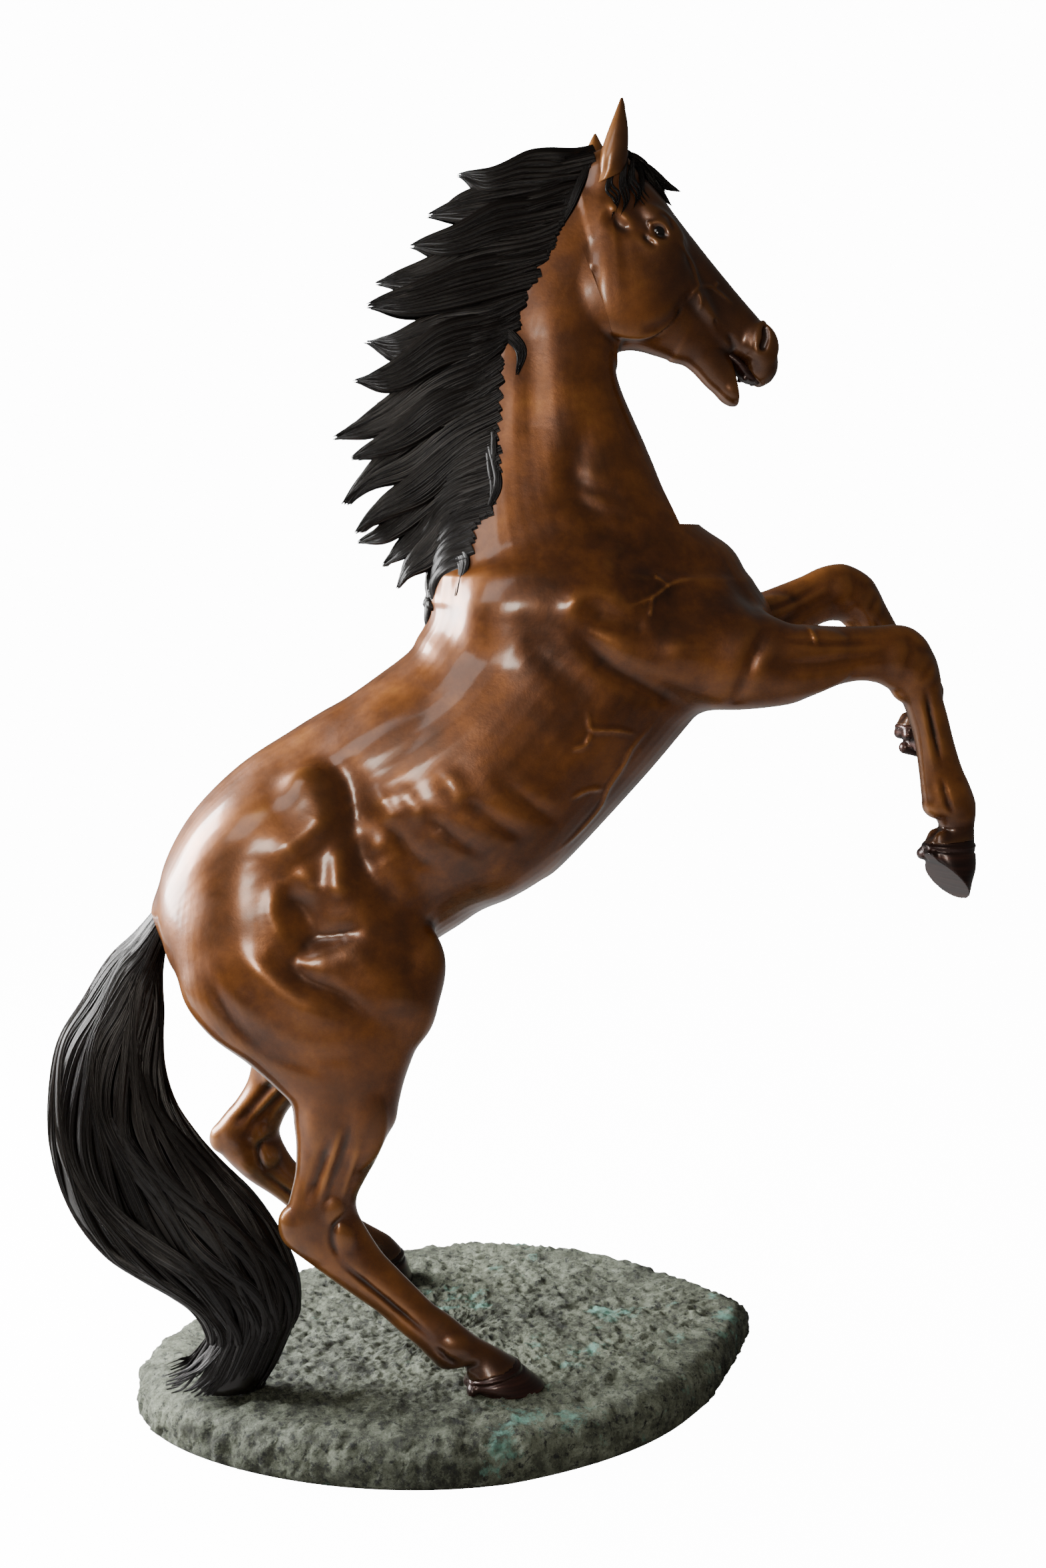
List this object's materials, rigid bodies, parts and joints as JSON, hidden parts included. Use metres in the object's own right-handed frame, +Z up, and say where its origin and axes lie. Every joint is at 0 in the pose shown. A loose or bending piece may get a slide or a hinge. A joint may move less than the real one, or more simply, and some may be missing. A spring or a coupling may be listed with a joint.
{
  "type": "bronze horse statue",
  "caption": "Life-size rearing horse statue in hollow cast bronze, welded over a steel armature, standing on an oval rock base with an anchor frame.",
  "frame": {"origin": "centre of the anchor hole pattern, on the ground under the middle of the rock base", "axes": "+X the way the horse faces, +Y to the horse's left, +Z up"},
  "size_m": [1.974, 0.9501, 2.638],
  "materials": {
    "brown_bronze": "cast bronze, brown patina, waxed and polished",
    "hoof_bronze": "cast bronze, dark purple-brown patina, waxed",
    "black_bronze": "cast bronze, combed hair texture, black patina, waxed",
    "verdigris_bronze": "cast bronze, rock texture, mottled green patina, matt",
    "steel": "mill finish"
  },
  "bodies": {
    "root": {"base_shell": "verdigris_bronze", "base_frame": "steel", "anchor_nuts": "steel", "foot_plate_bolts": "steel", "foot_plate_nuts": "steel", "right_leg_bar": "steel", "left_leg_bar": "steel", "tail_bar": "steel", "hip_beam": "steel", "spine_bar": "steel", "shoulder_beam": "steel", "neck_bar": "steel", "hindquarters_casting": "brown_bronze", "barrel_casting": "brown_bronze", "shoulder_casting": "brown_bronze", "neck_casting": "brown_bronze", "head_casting": "brown_bronze", "lower_jaw_casting": "brown_bronze", "right_ear": "brown_bronze", "left_ear": "brown_bronze", "forelock": "black_bronze", "mane_upper": "black_bronze", "mane_middle": "black_bronze", "mane_lower": "black_bronze", "tail_upper": "black_bronze", "tail_lower": "black_bronze", "right_forearm": "brown_bronze", "right_fore_cannon": "brown_bronze", "right_fore_hoof": "hoof_bronze", "left_forearm": "brown_bronze", "left_fore_cannon": "brown_bronze", "left_fore_hoof": "hoof_bronze", "right_gaskin": "brown_bronze", "right_hind_cannon": "brown_bronze", "right_hind_hoof": "hoof_bronze", "left_gaskin": "brown_bronze", "left_hind_cannon": "brown_bronze", "left_hind_hoof": "hoof_bronze"}
  },
  "joints": []
}
